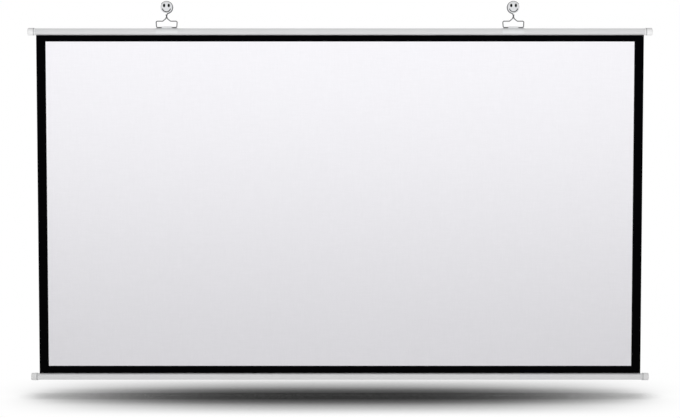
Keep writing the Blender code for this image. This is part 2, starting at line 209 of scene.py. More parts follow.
class ClipSizes(bpy.types.PropertyGroup):
    wall: length("Wall", "Wall thickness of the band", 0.0010)
    play: length("Play", "Gap between the band and its tube", 0.0003)
    wrap: angle("Wrap", "How far the band goes round the tube", 214)
    knuckle: length("Knuckle", "Length of the knuckle along the bar", 0.032)
    knuckle_wall: length("Knuckle wall", "Wall thickness round the bar", 0.0011)
    mouth: angle("Mouth", "Opening of the knuckle towards the wall", 70)
    soft_edge: length("Soft edge", "Width of the softened edges", 0.0002)


class HookSizes(bpy.types.PropertyGroup):
    pad: length("Pad", "Thickness of the adhesive pad", 0.001)
    pad_inset: length("Pad inset", "How far the pad's edge lies inside the flange", 0.001)
    gap: length("Gap", "Gap between the pad, the spool and the button", 0.0003)
    waist: length("Waist", "Diameter of the spool where the wire rests", 0.0316)
    wall: length("Wall", "Wall thickness of the spool", 0.0023)
    floor: length("Floor", "Thickness of the spool's back", 0.0025)
    flange: length("Flange", "How far the rear flange stands out from the waist", 0.0017)
    flange_depth: length("Flange thickness", "Thickness of the rear flange", 0.003)
    collar: length("Collar", "How far the front collar stands out from the waist", 0.001)
    reach: length("Collar reach", "Distance of the spool's rim from the wire", 0.004)
    overhang: length("Overhang", "How far the button stands out from the collar", 0.00195)
    edge: length("Edge", "Height of the button's straight edge", 0.0025)
    crown: length("Crown", "Height of the button's dome", 0.0060)
    button_wall: length("Button wall", "Wall thickness of the button", 0.0022)
    plug: length("Plug", "Depth of the ring that plugs into the spool", 0.003)
    plug_wall: length("Plug wall", "Wall thickness of that ring", 0.0018)
    ink: length("Ink", "Thickness of the printed marks", 0.00012)
    eye_x: length("Eye place", "Distance of an eye from the middle", 0.0073)
    eye_z: length("Eye height", "Height of the eyes above the middle", 0.0064)
    eye_half: length("Eye half width", "Half width of an eye", 0.0036)
    eye_tall: length("Eye half height", "Half height of an eye", 0.0055)
    smile: length("Smile", "Radius of the mouth's arc", 0.0121)
    smile_z: length("Smile height", "Height of that arc's centre above the middle", -0.0007)
    smile_line: length("Smile line", "Half width of the mouth's line", 0.0022)
    smile_span: angle("Smile span", "Angle that the mouth's arc covers", 158)


class ScreenFinishes(bpy.types.PropertyGroup):
    cloth: colour("Cloth", "Matt white coated cloth", "F5F4F8")
    border: colour("Border", "Matt black film", "020203")
    rail: colour("Rail", "Silver grey lacquer of the tubes", "DFDFE0")
    cap: colour("Cap", "Satin white moulding", "F0F0F0")
    clip: colour("Clip", "Satin light grey clip", "DEDFE0")
    # The ring is a band in the caps' grooves, and its dark grey is painted shade of the groove
    ring: colour("Ring", "Grey rubber ring of the caps", "B0B1B3")
    hook: colour("Hook", "Gloss light grey moulding", "DADBDD")
    wire: colour("Wire", "Dark passivated zinc plate", "5A5B5E")
    ink: colour("Ink", "Printed black", "060606")
    pad: colour("Pad", "Foam tape", "D9D8D2")
    rod: colour("Rod", "Drawn steel rod", "A5A6A8")


class StageSettings(bpy.types.PropertyGroup):
    distance: length("Distance", "From the camera to the middle of the picture", 15.9)
    elevation: angle("Elevation", "How far the camera looks down", 10.15)
    aim_z: length("Aim", "Height of the picture's middle", -0.6473)
    cloth_pixels: amount("Cloth in picture", "Width of the cloth in pixels", 604.1)
    floor_drop: length("Floor drop", "How far the floor lies under the lower rail", 0.054)
    ambient: amount("Ambient", "Strength of the light from all sides", 0.45)
    strip_power: amount("Strip light", "Power of the long light in front", 53.5, "POWER")
    strip_y: length("Strip depth", "How far the strip light stands in front of the cloth", 1.8)
    strip_z: length("Strip height", "Height of the strip light above the cloth's top", -0.2)
    strip_tilt: angle("Strip tilt", "How far the strip light is turned up from the cloth", 40)
    back_power: amount("Back light", "Power of the like light behind the screen", 32, "POWER")
    # The floor's shadow is painted: it darkens the floor's white emission near the screen
    shadow: length("Shadow reach", "How far the floor's shadow reaches from the screen", 0.30)
    shadow_half: length("Shadow half", "Where, from the middle, it is down to a third", 0.79)


# Surfaces

def grid_quads(index):
    """The quads of a grid of point numbers: a point, its next in the row, and both one row on."""
    corners = [index[:-1, :-1], index[:-1, 1:], index[1:, 1:], index[1:, :-1]]
    return np.stack(corners, -1).reshape(-1, 4)


def shell(front, back):
    """A closed wall between two like grids of points: both grids, and a strip along their rim."""
    rows, columns = front.shape[:2]
    index = np.arange(rows * columns).reshape(rows, columns)
    rim = np.concatenate([index[0, :-1], index[:-1, -1], index[-1, :0:-1], index[:0:-1, 0]])
    ahead = np.roll(rim, -1)
    under = rows * columns
    edge = np.stack([rim, rim + under, ahead + under, ahead], -1)
    faces = np.concatenate([grid_quads(index), under + grid_quads(index)[:, ::-1], edge])
    return np.concatenate([front.reshape(-1, 3), back.reshape(-1, 3)]), faces


def ringed(points):
    """A grid of rings, each closed on itself. A ring of no size at an end closes it as a pole."""
    rows, columns = points.shape[:2]
    index = np.arange(rows * columns).reshape(rows, columns)
    return points.reshape(-1, 3), grid_quads(np.concatenate([index, index[:, :1]], 1))


def turned(profile, along, across, middle):
    """A profile of (radius, height) points turned about an axis: middle + height * along
    + radius * (cos t * across + sin t * the third axis), with t from 0 to a full turn."""
    t = np.linspace(0, 2 * np.pi, AROUND, endpoint=False)[:, None]
    along, across = np.array(along, float), np.array(across, float)
    spokes = np.cos(t) * across + np.sin(t) * np.cross(along, across)
    radius, height = np.array(profile).T[:, :, None, None]
    return ringed(middle + height * along + radius * spokes)


def swept(path, half_width, half_depth):
    """An ellipse carried along a path, square to it: path + half_width * cos t * side
    + half_depth * sin t * depth, where side is the path's direction crossed with the Y axis."""
    heading = np.gradient(path, axis=0)
    heading /= np.linalg.norm(heading, axis=1, keepdims=True)
    side = np.cross(heading, (0, 1, 0))
    side /= np.linalg.norm(side, axis=1, keepdims=True)
    depth = np.cross(side, heading)
    t = np.linspace(0, 2 * np.pi, WIRE_SIDES, endpoint=False)[:, None]
    wide = np.reshape(half_width, (-1, 1, 1)) * np.cos(t) * side[:, None]
    deep = np.reshape(half_depth, (-1, 1, 1)) * np.sin(t) * depth[:, None]
    return ringed(path[:, None] + wide + deep)


def end_taper(path, radius):
    """Shares of the full width along a path with two round ends: within a radius of an end, the
    square root of 1 - (1 - d / radius)^2, with d the distance to that end, and 1 elsewhere."""
    steps = np.linalg.norm(np.diff(path, axis=0), axis=1)
    run = np.concatenate([[0], np.cumsum(steps)])
    near_end = np.clip(np.minimum(run, run[-1] - run) / radius, 0, 1)
    return np.sqrt(1 - (1 - near_end) ** 2)


def extruded(outline, x_low, x_high):
    """A closed (y, z) outline carried along X, with a flat face at each end."""
    count = len(outline)
    ends = [np.column_stack([np.full(count, x), outline]) for x in (x_low, x_high)]
    ring = np.arange(count)
    ahead = np.roll(ring, -1)
    sides = np.stack([ring, ahead, ahead + count, ring + count], -1)
    return np.concatenate(ends), [*sides.tolist(), ring[::-1].tolist(), (ring + count).tolist()]


def joined(*parts):
    """Several surfaces as one list of points and faces."""
    starts = np.cumsum([0] + [len(points) for points, _ in parts])
    faces = [faces + start for start, (_, faces) in zip(starts, parts)]
    return np.concatenate([points for points, _ in parts]), np.concatenate(faces)


def arc(radius, start, end, steps=AROUND, centre=(0, 0)):
    """Points of a circle from one angle to another, in radians."""
    t = np.linspace(start, end, steps + 1)
    return np.array(centre) + radius * np.stack([np.cos(t), np.sin(t)], 1)


def filleted(corners, radii, steps=ARC_STEPS):
    """A line through corners with each inner corner turned into an arc, which starts the radius
    times the tangent of half the turn before the corner. Its centre is square to the line there."""
    corners = np.array(corners, float)
    before, corner, after = corners[:-2], corners[1:-1], corners[2:]
    into = np.arctan2(*(corner - before).T[::-1])
    turn = (np.arctan2(*(after - corner).T[::-1]) - into + np.pi) % (2 * np.pi) - np.pi
    radii = np.broadcast_to(radii, turn.shape)
    square = into + np.sign(turn) * np.pi / 2
    setback = radii * np.tan(np.abs(turn) / 2)
    begin = corner - setback[:, None] * np.stack([np.cos(into), np.sin(into)], 1)
    centre = begin + radii[:, None] * np.stack([np.cos(square), np.sin(square)], 1)
    angles = (square + np.pi)[:, None] + turn[:, None] * np.linspace(0, 1, steps + 1)
    arcs = centre[:, None] + radii[:, None, None] * np.stack([np.cos(angles), np.sin(angles)], -1)
    return np.concatenate([corners[:1], arcs.reshape(-1, 2), corners[-1:]])


def along_x(section, stations):
    """A (y, z) line carried along X, as a grid of points: one row for each point of the line."""
    grid = np.empty((len(section), len(stations), 3))
    grid[..., 0] = stations
    grid[..., 1:] = section[:, None]
    return grid


def new_mesh(name, surface):
    """A closed mesh of a surface: near points merged, faces turned outwards, round faces smooth."""
    points, faces = surface
    mesh = bpy.data.meshes.new(name)
    mesh.from_pydata(points.tolist(), [], faces if isinstance(faces, list) else faces.tolist())
    body = bmesh.new()
    body.from_mesh(mesh)
    bmesh.ops.remove_doubles(body, verts=body.verts, dist=MERGE_DISTANCE)
    bmesh.ops.recalc_face_normals(body, faces=body.faces)
    body.to_mesh(mesh)
    body.free()
    mesh.shade_smooth()
    mesh.set_sharp_from_angle(angle=SHARP_ANGLE)
    return mesh


def new_piece(name, surface, material, body, nodes=()):
    """A piece at the origin that rides on a body and stands for the nodes given."""
    mesh = surface if isinstance(surface, bpy.types.Mesh) else new_mesh(name, surface)
    piece = bpy.data.objects.new(name, mesh)
    bpy.context.scene.collection.objects.link(piece)
    mesh.materials.append(material)
    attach(piece, body)
    if nodes:
        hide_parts(*nodes)
    return piece


# Finishes

def add(tree, kind, inputs=None, **settings):
    """Adds a node with its settings. Inputs, by name or number, are values or sockets to link."""
    made = tree.nodes.new(kind)
    for name, value in settings.items():
        setattr(made, name, value)
    for key, value in (inputs or {}).items():
        if isinstance(value, bpy.types.NodeSocket):
            tree.links.new(value, made.inputs[key])
        else:
            made.inputs[key].default_value = value
    return made


def new_finish(name, tone, **sockets):
    """A material whose shader has one base colour and the socket values given. Also returns its
    node tree, its shader and the socket of the object's coordinates."""
    material = bpy.data.materials.new(name)
    material.use_nodes = True
    tree = material.node_tree
    shader = tree.nodes["Principled BSDF"]
    shader.inputs["Base Color"].default_value = (*tone, 1)
    for socket, value in sockets.items():
        shader.inputs[socket.replace("_", " ")].default_value = value
    return material, tree, shader, add(tree, "ShaderNodeTexCoord").outputs["Object"]


def vary(tree, shader, tone, tint, rough=None, bump=None):
    """Lets patterns change a shader. The tint has a pattern and two shares of the tone, the
    roughness a pattern and two values, and the bump a pattern, a strength and a depth in metres."""
    pattern, *shares = tint
    low, high = [(*(np.array(tone) * share), 1) for share in shares]
    mix = add(tree, "ShaderNodeMix", {0: pattern, 6: low, 7: high}, data_type="RGBA")
    tree.links.new(mix.outputs[2], shader.inputs["Base Color"])
    if rough:
        spread = add(tree, "ShaderNodeMapRange", dict(zip((0, 3, 4), rough)))
        tree.links.new(spread.outputs[0], shader.inputs["Roughness"])
    if bump:
        relief = add(tree, "ShaderNodeBump", dict(zip(("Height", "Strength", "Distance"), bump)))
        tree.links.new(relief.outputs[0], shader.inputs["Normal"])


def coated_cloth(tone):
    """Polyester cloth with a matt PVC coating: even white, with the uneven threads of the weave
    that show through the coating, and slow changes of gloss over 180 mm. The threads are 0.5 mm
    wide in reality and drawn at 2 mm, with thicker stretches of 30 mm, so that they show near by."""
    material, tree, shader, place = new_finish(
        "matt_coated_cloth", tone, Roughness=0.9, Specular_IOR_Level=0.25)
    clouds = add(tree, "ShaderNodeTexNoise", {"Vector": place, "Scale": 1 / 0.180, "Detail": 3.0})
    wide, long = 1 / 0.002, 1 / 0.030
    threads = []
    for scale in ((long, long, wide), (wide, long, long)):
        stretch = add(tree, "ShaderNodeMapping", {"Vector": place, "Scale": scale})
        thread = {"Vector": stretch.outputs[0], "Scale": 1.0, "Detail": 2.0}
        threads.append(add(tree, "ShaderNodeTexNoise", thread).outputs[0])
    weave = add(tree, "ShaderNodeMath", dict(enumerate(threads)), operation="MULTIPLY").outputs[0]
    vary(tree, shader, tone, tint=(weave, 0.968, 1.068), rough=(clouds.outputs[0], 0.84, 0.96),
         bump=(weave, 0.5, 0.0004))
    return material


def black_film(tone):
    """Black PVC film welded to the cloth: deep matt black with a faint leathery grain of 3 mm."""
    material, tree, shader, place = new_finish(
        "matt_black_film", tone, Roughness=0.8, Specular_IOR_Level=0.02)
    leather = {"Vector": place, "Scale": 1 / 0.003, "Detail": 4.0}
    grain = add(tree, "ShaderNodeTexNoise", leather).outputs[0]
    vary(tree, shader, tone,
         tint=(grain, 0.2, 2.0), rough=(grain, 0.68, 0.84), bump=(grain, 0.6, 0.0001))
    return material


def silver_lacquer(tone):
    """Silver grey stove lacquer on rolled steel: half metal from its fine flakes, satin, with the
    shallow ripple of flowed lacquer, 1.5 mm. Flakes of 0.1 mm are drawn at 0.5 mm to be visible."""
    material, tree, shader, place = new_finish("silver_grey_lacquer", tone, Metallic=0.6)
    flakes = add(tree, "ShaderNodeTexVoronoi", {"Vector": place, "Scale": 1 / 0.0005}).outputs[0]
    slow = {"Vector": place, "Scale": 1 / 0.060, "Detail": 2.0}
    drift = add(tree, "ShaderNodeTexNoise", slow).outputs[0]
    blend = add(tree, "ShaderNodeMath", {0: flakes, 1: drift}, operation="MULTIPLY").outputs[0]
    flow = {"Vector": place, "Scale": 1 / 0.0015, "Detail": 1.0}
    ripple = add(tree, "ShaderNodeTexNoise", flow).outputs[0]
    vary(tree, shader, tone,
         tint=(blend, 0.90, 1.06), rough=(drift, 0.38, 0.5), bump=(ripple, 0.4, 0.00005))
    return material


def moulded_plastic(name, tone, roughness, grain_size, depth):
    """Injection moulded plastic: the mould's fine spark grain and a change of gloss over 12 mm."""
    material, tree, shader, place = new_finish(name, tone, Roughness=roughness, IOR=1.53)
    grain, flow = [
        add(tree, "ShaderNodeTexNoise", {"Vector": place, "Scale": 1 / size, "Detail": 2.0})
        for size in (grain_size, 0.012)
    ]
    gloss = (flow.outputs[0], roughness - 0.05, roughness + 0.05)
    vary(tree, shader, tone,
         tint=(flow.outputs[0], 0.95, 1.03), rough=gloss, bump=(grain.outputs[0], 0.7, depth))
    return material


def zinc_plate(tone):
    """Zinc plated, passivated steel: grey metal with cloudy patches of 5 mm and pits of 0.6 mm."""
    material, tree, shader, place = new_finish(
        "zinc_plated_wire", tone, Roughness=0.34, Metallic=1.0)
    clouds = {"Vector": place, "Scale": 1 / 0.005, "Detail": 3.0}
    patches = add(tree, "ShaderNodeTexNoise", clouds).outputs[0]
    dots = {"Vector": place, "Scale": 1 / 0.0006, "Detail": 1.0}
    pits = add(tree, "ShaderNodeTexNoise", dots).outputs[0]
    vary(tree, shader, tone,
         tint=(patches, 0.82, 1.12), rough=(patches, 0.26, 0.44), bump=(pits, 0.5, 0.00003))
    return material


def printed_ink(tone):
    """Pad printed ink: black, deeper and glossier where it lies thicker, in spots of 0.8 mm."""
    material, tree, shader, place = new_finish("printed_black_ink", tone, Specular_IOR_Level=0.06)
    spots = {"Vector": place, "Scale": 1 / 0.0008, "Detail": 2.0}
    film = add(tree, "ShaderNodeTexNoise", spots).outputs[0]
    vary(tree, shader, tone, tint=(film, 0.4, 1.6), rough=(film, 0.3, 0.5))
    return material


def foam_tape(tone):
    """Closed cell foam with an acrylic adhesive: off white, with cells of 0.8 mm."""
    material, tree, shader, place = new_finish("adhesive_foam_tape", tone, Roughness=0.7)
    cells = add(tree, "ShaderNodeTexVoronoi", {"Vector": place, "Scale": 1 / 0.0008}).outputs[0]
    vary(tree, shader, tone, tint=(cells, 0.9, 1.03), bump=(cells, 0.4, 0.0001))
    return material


# Pieces

def cloth_depth(x, z):
    """Depth of the cloth's middle plane: two slow sines across the width, deepest halfway down, and
    nothing at the tubes, which hold the cloth straight."""
    slack = bpy.context.scene.cloth_sizes.slack
    down = np.clip((CLOTH_TOP - z) / CLOTH_DROP, 0, 1)
    waves = [share * np.sin(2 * np.pi * x / wave + phase) for share, wave, phase in CLOTH_WAVES]
    return PLANE_Y + slack * np.sin(np.pi * down) * sum(waves)


def winds_up(piece):
    """Gives the piece a mesh of its own."""
    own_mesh(piece)


class SCREEN_OT_cloth(bpy.types.Operator):
    """Hangs the white cloth between the tubes, with its hems, and lays the black border on it"""
    bl_idname = "screen.cloth"
    bl_label = "Cloth and border"

    def execute(self, context):
        sizes = context.scene.cloth_sizes
        rail = context.scene.rail_sizes
        looks = context.scene.screen_finishes
        thick = sizes.thickness
        loop = sizes.rod / 2 + sizes.play
        tongue = rail.diameter / 2 + TOUCH_GAP - sizes.rod_sink - loop - thick / 2
        x = np.linspace(-CLOTH_HALF, CLOTH_HALF, CLOTH_COLUMNS)
        rows = [
            (np.linspace(CLOTH_TOP + tongue, CLOTH_TOP - sizes.flap, FLAP_ROWS), 2),
            (np.linspace(CLOTH_TOP - sizes.flap, CLOTH_BOTTOM + sizes.flap, CLOTH_ROWS), 1),
            (np.linspace(CLOTH_BOTTOM + sizes.flap, CLOTH_BOTTOM - tongue, FLAP_ROWS), 2),
        ]
        z = np.concatenate([heights for heights, _ in rows])[:, None]
        spread = [np.full(len(heights), count) for heights, count in rows]
        layers = np.concatenate(spread)[:, None]
        x, z = np.broadcast_arrays(x, z)
        middle = cloth_depth(x, z)
        front = np.stack([x, middle - thick / 2, z], -1)
        back = np.stack([x, middle + thick * (layers - 0.5), z], -1)
        cloth = coated_cloth(looks.cloth)
        sheet = new_piece(
            "cloth_sheet", shell(front, back), cloth, "screen", ["screen_cloth"])
        winds_up(sheet)
        films = self.lay_border(sizes, black_film(looks.border))
        hems = self.wrap_hems(sizes, rail, loop, cloth)
        return {"FINISHED"}

    def lay_border(self, sizes, material):
        """Four strips of film on the cloth's front, which follow its depth. The side strips butt
        against the long ones. All but the top strip get a mesh of their own. The top strip is never
        wound up, and the others shorten to it."""
        spans = {
            "top": ((-CLOTH_HALF, CLOTH_HALF), (WINDOW_TOP, CLOTH_TOP)),
            "bottom": ((-CLOTH_HALF, CLOTH_HALF), (CLOTH_BOTTOM, WINDOW_BOTTOM)),
            "left": ((-CLOTH_HALF, -WINDOW_HALF), (WINDOW_BOTTOM, WINDOW_TOP)),
            "right": ((WINDOW_HALF, CLOTH_HALF), (WINDOW_BOTTOM, WINDOW_TOP)),
        }
        films = []
        for side, (width, height) in spans.items():
            steps = (FILM_STEPS, CLOTH_COLUMNS) if side in SIDES else (CLOTH_COLUMNS, FILM_STEPS)
            x, z = np.meshgrid(np.linspace(*width, steps[0]), np.linspace(*height, steps[1]))
            lower = cloth_depth(x, z) - sizes.thickness / 2 - TOUCH_GAP
            grids = [np.stack([x, lower - lift, z], -1) for lift in (sizes.film, 0)]
            nodes = [f"border_{side}"]
            film = new_piece(f"film_{side}", shell(*grids), material, "screen", nodes)
            if side != "top":
                winds_up(film)
            films.append(film)
        return films

    def wrap_hems(self, sizes, rail, loop, material):
        """The two loops of cloth round the rods, inside the tubes."""
        hems = []
        x = np.linspace(-CLOTH_HALF, CLOTH_HALF, HEM_STATIONS)
        gap = HEM_OPENING * sizes.thickness / loop
        for name, (body, edge, down) in RAILS.items():
            centre = (PLANE_Y, edge + down * (rail.diameter / 2 + sizes.rod_sink))
            start = down * np.pi / 2 + gap
            rings = [
                along_x(arc(radius, start, start + 2 * (np.pi - gap), AROUND, centre), x)
                for radius in (loop + sizes.thickness, loop)
            ]
            hems.append(new_piece(f"hem_{name}", shell(*rings), material, body))
        return hems


class SCREEN_OT_rails(bpy.types.Operator):
    """Makes the two slotted tubes, their end caps and the finish of the rods inside"""
    bl_idname = "screen.rails"
    bl_label = "Tubes and caps"

    def execute(self, context):
        sizes = context.scene.rail_sizes
        looks = context.scene.screen_finishes
        paint = silver_lacquer(looks.rail)
        plastic = moulded_plastic(
            "satin_white_cap", looks.cap, roughness=0.4, grain_size=0.0008, depth=0.00004)
        # The grey ring's tone paints the shade in the caps' grooves
        rubber = moulded_plastic(
            "grey_ring_painted_groove_shade", looks.ring, roughness=0.7, grain_size=0.0005, depth=0.00004)
        radius = sizes.diameter / 2
        x = np.linspace(-RAIL_HALF, RAIL_HALF, RAIL_STATIONS)
        for name, (body, edge, down) in RAILS.items():
            middle = (PLANE_Y, edge + down * radius)
            walls = []
            for wall in (radius, radius - sizes.wall):
                cut = np.arcsin(sizes.slot / 2 / wall)
                start = down * np.pi / 2 + cut
                section = arc(wall, start, start + 2 * (np.pi - cut), AROUND, middle)
                walls.append(along_x(section, x))
            new_piece(f"rail_{name}", shell(*walls), paint, body, [f"{name}_tube"])
            for side, sign in SIDES.items():
                axes = (sign, 0, 0), (0, 0, 1), (sign * CAP_RIM_X, *middle)
                cap = turned(self.cap_profile(sizes), *axes)
                nodes = [f"{name}_cap_{side}"]
                new_piece(f"cap_{name}_{side}", cap, plastic, body, nodes)
                # A grey ring in each groove: partly a real band, partly painted shade of the groove
                ring = turned(self.shade_ring_profile(sizes), *axes)
                new_piece(f"cap_shade_ring_{name}_{side}", ring, rubber, body)
        rods = {
            "top_hem_rod": moulded_plastic(
                "white_rod_plastic", looks.cap, roughness=0.5, grain_size=0.001, depth=0.00003),
            "bottom_hem_rod": zinc_plate(looks.rod),
        }
        for node, material in rods.items():
            frame["nodes"][node].data.materials.clear()
            frame["nodes"][node].data.materials.append(material)
        return {"FINISHED"}

    def cap_profile(self, sizes):
        """A cup from the middle of its closed end to the middle of its bore: a sunk moulding mark,
        a rounded edge, a ring groove, a softened rim and a plain bore."""
        bore = sizes.diameter / 2 + sizes.cap_play
        outer = bore + sizes.cap_wall
        floor = outer - sizes.groove_depth
        end, grip = sizes.cap_length, sizes.cap_length - sizes.cap_end
        soft, gate = sizes.soft_edge, sizes.gate
        corners = [
            (0, end - soft), (gate, end - soft), (gate + soft, end), (outer, end),
            (outer, sizes.collar + sizes.groove), (floor, sizes.collar + sizes.groove),
            (floor, sizes.collar), (outer, sizes.collar),
            (outer, 0), (bore, 0), (bore, grip), (0, grip),
        ]
        edge = [soft / 3, soft, sizes.cap_round]
        groove = [soft, soft / 2, soft / 2, soft]
        return filleted(corners, [*edge, *groove, 2 * soft, soft / 2, soft])

    def shade_ring_profile(self, sizes):
        """A flat rubber band that lies in the groove, a little lower than the cap round it. Its
        darker grey is painted shade of the groove.
        """
        outer = sizes.diameter / 2 + sizes.cap_play + sizes.cap_wall
        floor = outer - sizes.groove_depth + TOUCH_GAP
        crest = floor + sizes.groove_depth * SHADE_RING_FILL
        low, high = sizes.collar + sizes.soft_edge, sizes.collar + sizes.groove - sizes.soft_edge
        middle = (crest, (low + high) / 2)
        corners = [middle, (crest, low), (floor, low), (floor, high), (crest, high), middle]
        return filleted(corners, sizes.soft_edge / 3, RING_STEPS)


class SCREEN_OT_clips(bpy.types.Operator):
    """Makes the two clips that hold the hangers' bars on the top tube"""
    bl_idname = "screen.clips"
    bl_label = "Clips"

    def execute(self, context):
        sizes = context.scene.clip_sizes
        rail = context.scene.rail_sizes
        wire = context.scene.hanger_sizes.wire
        tone = context.scene.screen_finishes.clip
        plastic = moulded_plastic(
            "satin_grey_clip", tone, roughness=0.4, grain_size=0.0008, depth=0.00004)
        inner = rail.diameter / 2 + sizes.play
        middle = (PLANE_Y, RAIL_TOP_Z - rail.diameter / 2)
        reach = [np.pi / 2 - sizes.wrap / 2, np.pi / 2 + sizes.wrap / 2]
        for side, sign in SIDES.items():
            centre = sign * HOOK_X
            x = np.linspace(centre - CLIP_HALF, centre + CLIP_HALF, CLIP_STATIONS)
            band = [
                along_x(arc(radius, *reach, AROUND, middle), x)
                for radius in (inner + sizes.wall, inner)
            ]
            outline = self.knuckle_outline(sizes, wire / 2, middle[1] + inner + sizes.play)
            knuckle = extruded(outline, centre - sizes.knuckle / 2, centre + sizes.knuckle / 2)
            clip = self.welded([shell(*band), knuckle], sizes.soft_edge)
            nodes = [f"hanger_clip_{side}"]
            new_piece(f"clip_{side}", clip, plastic, "screen", nodes)
        return {"FINISHED"}

    def knuckle_outline(self, sizes, wire, foot):
        """A hook round the bar, open towards the wall, on a foot that runs into the band."""
        bore = wire + sizes.play
        outer = bore + sizes.knuckle_wall
        lip = sizes.mouth / 2
        heel = (outer * np.cos(lip), -outer * np.sin(lip))
        over = arc(outer, np.pi, lip, AROUND // 2)
        under = arc(bore, lip, 2 * np.pi - lip, AROUND // 2)
        foot -= BAR_Z
        leg = [heel, (heel[0], foot), (-outer, foot)]
        return np.concatenate([over, under, leg]) + (PLANE_Y, BAR_Z)

    def welded(self, solids, soft_edge):
        """The union of closed surfaces as one mesh, each with its sharp edges softened first."""
        objects = []
        for solid in solids:
            obj = bpy.data.objects.new("weld", new_mesh("weld", solid))
            bpy.context.scene.collection.objects.link(obj)
            bevel = obj.modifiers.new("Soft edges", "BEVEL")
            bevel.width = soft_edge
            bevel.segments = BEVEL_SEGMENTS
            bevel.angle_limit = SHARP_ANGLE
            objects.append(obj)
        for other in objects[1:]:
            union = objects[0].modifiers.new("Union", "BOOLEAN")
            union.operation = "UNION"
            union.object = other
        graph = bpy.context.evaluated_depsgraph_get()
        made = bpy.data.meshes.new_from_object(objects[0].evaluated_get(graph))
        for obj in objects:
            bpy.data.objects.remove(obj)
        made.set_sharp_from_angle(angle=SHARP_ANGLE)
        return made


class SCREEN_OT_hangers(bpy.types.Operator):
    """Bends the two wire hangers"""
    bl_idname = "screen.hangers"
    bl_label = "Wire hangers"

    def execute(self, context):
        sizes = context.scene.hanger_sizes
        zinc = zinc_plate(context.scene.screen_finishes.wire)
        route = self.route(sizes)
        radius = sizes.wire / 2
        girth = radius * end_taper(route, radius)
        for side, sign in SIDES.items():
            path = route * (-sign, 1, 1) + (sign * HOOK_X, PLANE_Y, 0)
            wire = swept(path, girth, girth)
            nodes = [f"wire_hanger_{side}"]
            new_piece(f"hanger_wire_{side}", wire, zinc, f"hanger_{side}", nodes)
        return {"FINISHED"}

    def route(self, sizes):
        """The wire's centre line about the hook's middle: an open loop, an arc into the neck, half
        a turn of two strands, a filleted body with a straight bar, and the second strand up."""
        strand = (sizes.wire + sizes.twist_gap) / 2
        loop_z = REST_Z + sizes.wire / 2 - sizes.loop
        turn_in = (sizes.loop * np.cos(sizes.loop_end) - strand) / (1 - np.cos(sizes.loop_end))
        neck_top = loop_z + (sizes.loop + turn_in) * np.sin(sizes.loop_end)
        twist_end = neck_top - sizes.twist
        neck_end = twist_end - sizes.neck_end
        shoulder = neck_end - sizes.drop
        loop = arc(sizes.loop, sizes.loop_tip, sizes.loop_end, AROUND, (0, loop_z))
        into = arc(turn_in, np.pi + sizes.loop_end, np.pi, ARC_STEPS, (strand + turn_in, neck_top))
        t = np.linspace(0, np.pi, 2 * ARC_STEPS + 1)
        height = neck_top - sizes.twist * t / np.pi
        down = np.stack([strand * np.cos(t), strand * np.sin(t), height], 1)
        up = down * (-1, -1, 1)
        corners = [
            (-strand, twist_end), (-strand, neck_end), (-sizes.slope, shoulder),
            (-sizes.half_top, shoulder), (-sizes.half_bar, BAR_Z), (0, BAR_Z),
        ]
        half = filleted(corners, [sizes.neck_bend, *[sizes.bend] * 3])[1:]
        flat = [np.concatenate([loop, into[1:-1]]), np.concatenate([half, half[-2::-1] * (-1, 1)])]
        hook, body = [np.insert(line, 1, 0, axis=1) for line in flat]
        tip = self.tapered(hook[0], hook[1], sizes.wire / 2)
        end = self.tapered(up[0], up[1], sizes.wire / 2)
        return np.concatenate([tip, hook[1:], down, body, up[:0:-1], end[::-1]])

    def tapered(self, first, second, radius):
        """Points from the wire's end into its first step, close enough to round the end off."""
        step = np.linalg.norm(second - first)
        inward = (second - first) / step
        share = 1 - np.cos(np.linspace(0, np.pi / 2, ARC_STEPS))
        return first + inward * (np.minimum(radius, step * TIP_SHARE) * share)[:, None]


